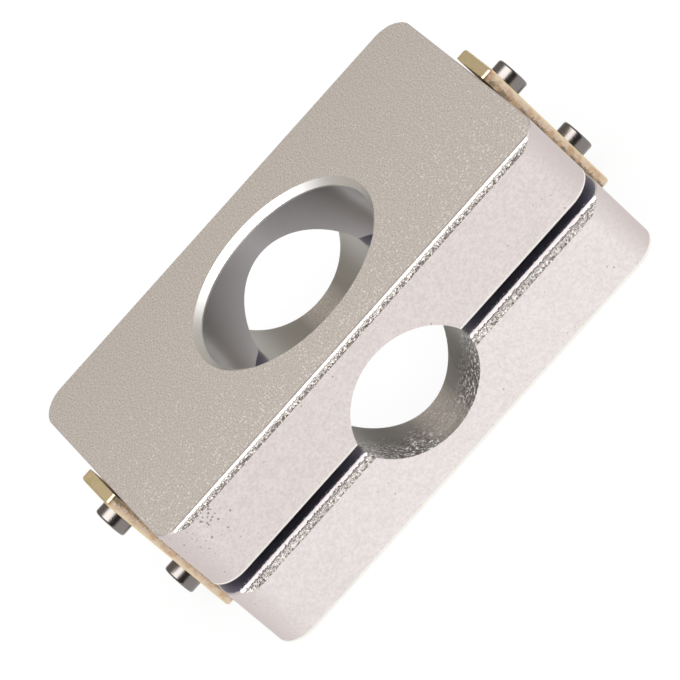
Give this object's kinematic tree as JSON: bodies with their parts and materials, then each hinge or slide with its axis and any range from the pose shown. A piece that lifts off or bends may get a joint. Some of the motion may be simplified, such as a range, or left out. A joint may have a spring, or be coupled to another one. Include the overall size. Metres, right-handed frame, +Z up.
{
  "type": "split mounting block",
  "caption": "Two-part metal mounting block with an upright bore crossed by a split clamp bore, tied together by a screwed strap at each end.",
  "frame": {"origin": "centre of the base, on the axis of the upright bore", "axes": "+Z up along the upright bore, X along the block towards the straps, Y along the cross bore, with the bevelled edges at -Y"},
  "size_m": [0.1114, 0.064, 0.036],
  "materials": {
    "block_aluminium": "satin",
    "strap_steel": "satin",
    "screw_steel": "polished",
    "washer_steel": "satin"
  },
  "bodies": {
    "root": {"upper_half": "block_aluminium", "lower_half": "block_aluminium", "left_strap": "strap_steel", "right_strap": "strap_steel", "strap_screws": "screw_steel", "spacer_washers": "washer_steel"}
  },
  "joints": []
}
